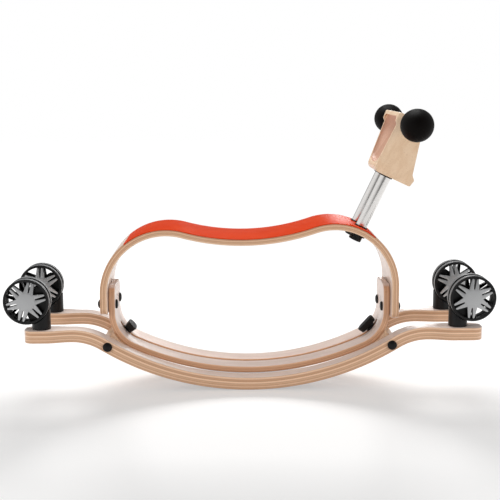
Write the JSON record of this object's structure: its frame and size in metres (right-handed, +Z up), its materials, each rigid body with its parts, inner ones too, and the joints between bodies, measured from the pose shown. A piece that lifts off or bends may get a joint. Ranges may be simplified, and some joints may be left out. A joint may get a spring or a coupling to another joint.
{
  "type": "rocking horse",
  "caption": "Bent-plywood toddler rocking horse with an arched seat, ball-gripped handle and swivel castors on the rocker ends, which it rolls on when turned over.",
  "frame": {"origin": "on the floor under the lowest line of the rockers, midway between the two rockers and between the castors", "axes": "+X forward, towards the handle; +Y to the rider's left; +Z up"},
  "size_m": [0.6996, 0.309, 0.4006],
  "materials": {
    "rocker_beech": "clear-lacquered bent plywood, edge plies visible",
    "crossbar_beech": "clear-lacquered solid beech",
    "cradle_beech": "clear-lacquered bent plywood",
    "seat_beech": "clear-lacquered bent plywood",
    "head_beech": "clear-lacquered solid beech",
    "orange_laminate": "glossy orange-red laminate",
    "zinc_steel": "bright zinc plate",
    "steel_tube": "polished tube",
    "black_plastic": "satin black",
    "grip_rubber": "satin black rubber",
    "castor_plastic": "black nylon",
    "wheel_tyre": "dark grey tread",
    "silver_trim": "silver-lacquered plastic"
  },
  "bodies": {
    "horse": {"rocker_left": "rocker_beech", "rocker_right": "rocker_beech", "crossbar_front": "crossbar_beech", "crossbar_back": "crossbar_beech", "crossbar_rods": "zinc_steel", "cradle": "cradle_beech", "seat_frame": "seat_beech", "seat_laminate": "orange_laminate", "side_bolts": "zinc_steel", "bolt_caps": "black_plastic", "clamp_inserts": "zinc_steel", "castor_stems": "zinc_steel", "handle_tubes": "steel_tube", "base_rings": "black_plastic", "head_collars": "black_plastic", "head": "head_beech", "grip_left": "grip_rubber", "grip_right": "grip_rubber", "grip_pegs": "zinc_steel"},
    "clamp_front": {"clamp_knob_front": "black_plastic", "clamp_stud_front": "zinc_steel"},
    "clamp_back": {"clamp_knob_back": "black_plastic", "clamp_stud_back": "zinc_steel"},
    "handle_nut_left": {"thumb_knob_left": "black_plastic", "thumb_stud_left": "zinc_steel"},
    "handle_nut_right": {"thumb_knob_right": "black_plastic", "thumb_stud_right": "zinc_steel"},
    "castor_back_left": {"castor_housing_back_left": "castor_plastic", "castor_axle_back_left": "zinc_steel"},
    "wheel_back_left_inner": {"wheel_back_left_inner": "castor_plastic", "tyre_back_left_inner": "wheel_tyre", "wheel_trim_back_left_inner": "silver_trim"},
    "wheel_back_left_outer": {"wheel_back_left_outer": "castor_plastic", "tyre_back_left_outer": "wheel_tyre", "wheel_trim_back_left_outer": "silver_trim"},
    "castor_back_right": {"castor_housing_back_right": "castor_plastic", "castor_axle_back_right": "zinc_steel"},
    "wheel_back_right_inner": {"wheel_back_right_inner": "castor_plastic", "tyre_back_right_inner": "wheel_tyre", "wheel_trim_back_right_inner": "silver_trim"},
    "wheel_back_right_outer": {"wheel_back_right_outer": "castor_plastic", "tyre_back_right_outer": "wheel_tyre", "wheel_trim_back_right_outer": "silver_trim"},
    "castor_front_left": {"castor_housing_front_left": "castor_plastic", "castor_axle_front_left": "zinc_steel"},
    "wheel_front_left_inner": {"wheel_front_left_inner": "castor_plastic", "tyre_front_left_inner": "wheel_tyre", "wheel_trim_front_left_inner": "silver_trim"},
    "wheel_front_left_outer": {"wheel_front_left_outer": "castor_plastic", "tyre_front_left_outer": "wheel_tyre", "wheel_trim_front_left_outer": "silver_trim"},
    "castor_front_right": {"castor_housing_front_right": "castor_plastic", "castor_axle_front_right": "zinc_steel"},
    "wheel_front_right_inner": {"wheel_front_right_inner": "castor_plastic", "tyre_front_right_inner": "wheel_tyre", "wheel_trim_front_right_inner": "silver_trim"},
    "wheel_front_right_outer": {"wheel_front_right_outer": "castor_plastic", "tyre_front_right_outer": "wheel_tyre", "wheel_trim_front_right_outer": "silver_trim"}
  },
  "joints": [
    {"name": "clamp_front_turn", "type": "hinge", "parent": "horse", "child": "clamp_front", "pos_m": [0.17894, 0, 0.07647], "axis": [-0.7431, 0, 0.6691], "continuous": true},
    {"name": "clamp_back_turn", "type": "hinge", "parent": "horse", "child": "clamp_back", "pos_m": [-0.17894, 0, 0.07647], "axis": [0.7431, 0, 0.6691], "continuous": true},
    {"name": "handle_nut_left_turn", "type": "hinge", "parent": "horse", "child": "handle_nut_left", "pos_m": [0.15429, 0.025, 0.21369], "axis": [-0.4305, 0, -0.9026], "continuous": true},
    {"name": "handle_nut_right_turn", "type": "hinge", "parent": "horse", "child": "handle_nut_right", "pos_m": [0.15429, -0.025, 0.21369], "axis": [-0.4305, 0, -0.9026], "continuous": true},
    {"name": "castor_back_left_swivel", "type": "hinge", "parent": "horse", "child": "castor_back_left", "pos_m": [-0.298, 0.0585, 0.1], "axis": [0, 0, 1], "continuous": true},
    {"name": "wheel_back_left_inner_spin", "type": "hinge", "parent": "castor_back_left", "child": "wheel_back_left_inner", "pos_m": [-0.317, 0.0585, 0.1313], "axis": [0, 1, 0], "continuous": true},
    {"name": "wheel_back_left_outer_spin", "type": "hinge", "parent": "castor_back_left", "child": "wheel_back_left_outer", "pos_m": [-0.317, 0.0585, 0.1313], "axis": [0, 1, 0], "continuous": true},
    {"name": "castor_back_right_swivel", "type": "hinge", "parent": "horse", "child": "castor_back_right", "pos_m": [-0.298, -0.0585, 0.1], "axis": [0, 0, 1], "continuous": true},
    {"name": "wheel_back_right_inner_spin", "type": "hinge", "parent": "castor_back_right", "child": "wheel_back_right_inner", "pos_m": [-0.317, -0.0585, 0.1313], "axis": [0, 1, 0], "continuous": true},
    {"name": "wheel_back_right_outer_spin", "type": "hinge", "parent": "castor_back_right", "child": "wheel_back_right_outer", "pos_m": [-0.317, -0.0585, 0.1313], "axis": [0, 1, 0], "continuous": true},
    {"name": "castor_front_left_swivel", "type": "hinge", "parent": "horse", "child": "castor_front_left", "pos_m": [0.298, 0.0585, 0.1], "axis": [0, 0, 1], "continuous": true},
    {"name": "wheel_front_left_inner_spin", "type": "hinge", "parent": "castor_front_left", "child": "wheel_front_left_inner", "pos_m": [0.317, 0.0585, 0.1313], "axis": [0, 1, 0], "continuous": true},
    {"name": "wheel_front_left_outer_spin", "type": "hinge", "parent": "castor_front_left", "child": "wheel_front_left_outer", "pos_m": [0.317, 0.0585, 0.1313], "axis": [0, 1, 0], "continuous": true},
    {"name": "castor_front_right_swivel", "type": "hinge", "parent": "horse", "child": "castor_front_right", "pos_m": [0.298, -0.0585, 0.1], "axis": [0, 0, 1], "continuous": true},
    {"name": "wheel_front_right_inner_spin", "type": "hinge", "parent": "castor_front_right", "child": "wheel_front_right_inner", "pos_m": [0.317, -0.0585, 0.1313], "axis": [0, 1, 0], "continuous": true},
    {"name": "wheel_front_right_outer_spin", "type": "hinge", "parent": "castor_front_right", "child": "wheel_front_right_outer", "pos_m": [0.317, -0.0585, 0.1313], "axis": [0, 1, 0], "continuous": true}
  ]
}
